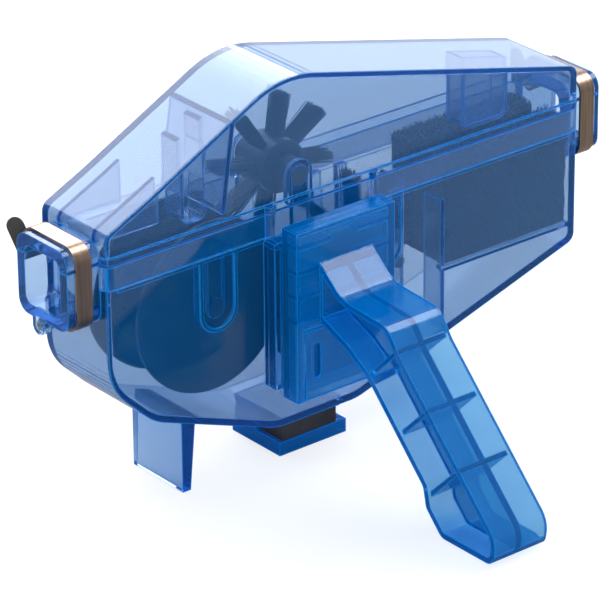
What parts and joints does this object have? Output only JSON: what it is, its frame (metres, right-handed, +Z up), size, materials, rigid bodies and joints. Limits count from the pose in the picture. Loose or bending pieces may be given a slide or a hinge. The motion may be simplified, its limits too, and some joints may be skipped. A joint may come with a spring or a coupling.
{
  "type": "bicycle chain cleaner",
  "caption": "Clip-on bicycle chain cleaner: clear two-part housing with brush wheels, sponge, magnet, spring clips and a slide-on handle.",
  "frame": {"origin": "on the table, in the middle of the foot of the leg under the front of the body", "axes": "+X along the chain from the front nose to the rear nose, +Y away from the handle, +Z up"},
  "size_m": [0.23, 0.1436, 0.1388],
  "materials": {
    "clear_housing": "polished translucent blue polycarbonate",
    "handle_plastic": "polished translucent blue polycarbonate, thicker",
    "tray_plastic": "moulded translucent blue",
    "spring_steel": "tempered strip, slightly brown",
    "pin_steel": "turned",
    "wheel_plastic": "moulded black",
    "bristle_nylon": "black filament",
    "foam": "open-cell sponge",
    "ferrite": "ground ceramic magnet"
  },
  "bodies": {
    "lower_body": {"lower_body": "clear_housing", "clip_pins": "pin_steel", "sponge": "foam", "magnet": "ferrite", "magnet_tray": "tray_plastic"},
    "cover": {"cover": "clear_housing"},
    "front_clip": {"front_clip": "spring_steel"},
    "rear_clip": {"rear_clip": "spring_steel"},
    "front_wheel": {"front_disc_near": "wheel_plastic", "front_disc_far": "wheel_plastic", "front_bristles_near": "bristle_nylon", "front_bristles_far": "bristle_nylon", "front_axle": "wheel_plastic"},
    "rear_wheel": {"rear_brush_hub": "wheel_plastic", "rear_brush_bristles": "bristle_nylon", "rear_axle": "wheel_plastic"},
    "top_wheel": {"top_brush_hub": "wheel_plastic", "top_brush_bristles": "bristle_nylon", "top_axle": "wheel_plastic"},
    "handle": {"handle": "handle_plastic"},
    "release_tab": {"release_tab": "handle_plastic"}
  },
  "joints": [
    {"name": "cover_lift", "type": "slide", "parent": "lower_body", "child": "cover", "axis": [0, 0, 1], "range_m": [0, 0.06]},
    {"name": "front_clip_swing", "type": "hinge", "parent": "lower_body", "child": "front_clip", "pos_m": [-0.03995, 0.003, 0.06965], "axis": [1, 0, 0], "range_deg": [0, 110], "deforming": ["front_clip"]},
    {"name": "rear_clip_swing", "type": "hinge", "parent": "lower_body", "child": "rear_clip", "pos_m": [0.17775, 0.003, 0.06965], "axis": [1, 0, 0], "range_deg": [0, 110], "deforming": ["rear_clip"]},
    {"name": "front_wheel_spin", "type": "hinge", "parent": "lower_body", "child": "front_wheel", "pos_m": [0.0119, 0, 0.0648], "axis": [0, 1, 0], "continuous": true},
    {"name": "rear_wheel_spin", "type": "hinge", "parent": "lower_body", "child": "rear_wheel", "pos_m": [0.0834, 0, 0.0648], "axis": [0, 1, 0], "continuous": true},
    {"name": "top_wheel_spin", "type": "hinge", "parent": "lower_body", "child": "top_wheel", "pos_m": [0.0475, 0, 0.1026], "axis": [0, 1, 0], "continuous": true},
    {"name": "handle_slide", "type": "slide", "parent": "lower_body", "child": "handle", "axis": [0, 0, -1], "range_m": [0, 0.06]},
    {"name": "release_tab_swing", "type": "hinge", "parent": "handle", "child": "release_tab", "pos_m": [0.0549, -0.0298, 0.0536], "axis": [-1, 0, 0], "range_deg": [0, 8], "stiffness_Nm_per_rad": 0.4}
  ],
  "couplings": [
    {"joint": "front_clip_swing", "follows": "cover_lift", "rad_per_m": 31.9},
    {"joint": "rear_clip_swing", "follows": "cover_lift", "rad_per_m": 31.9}
  ]
}
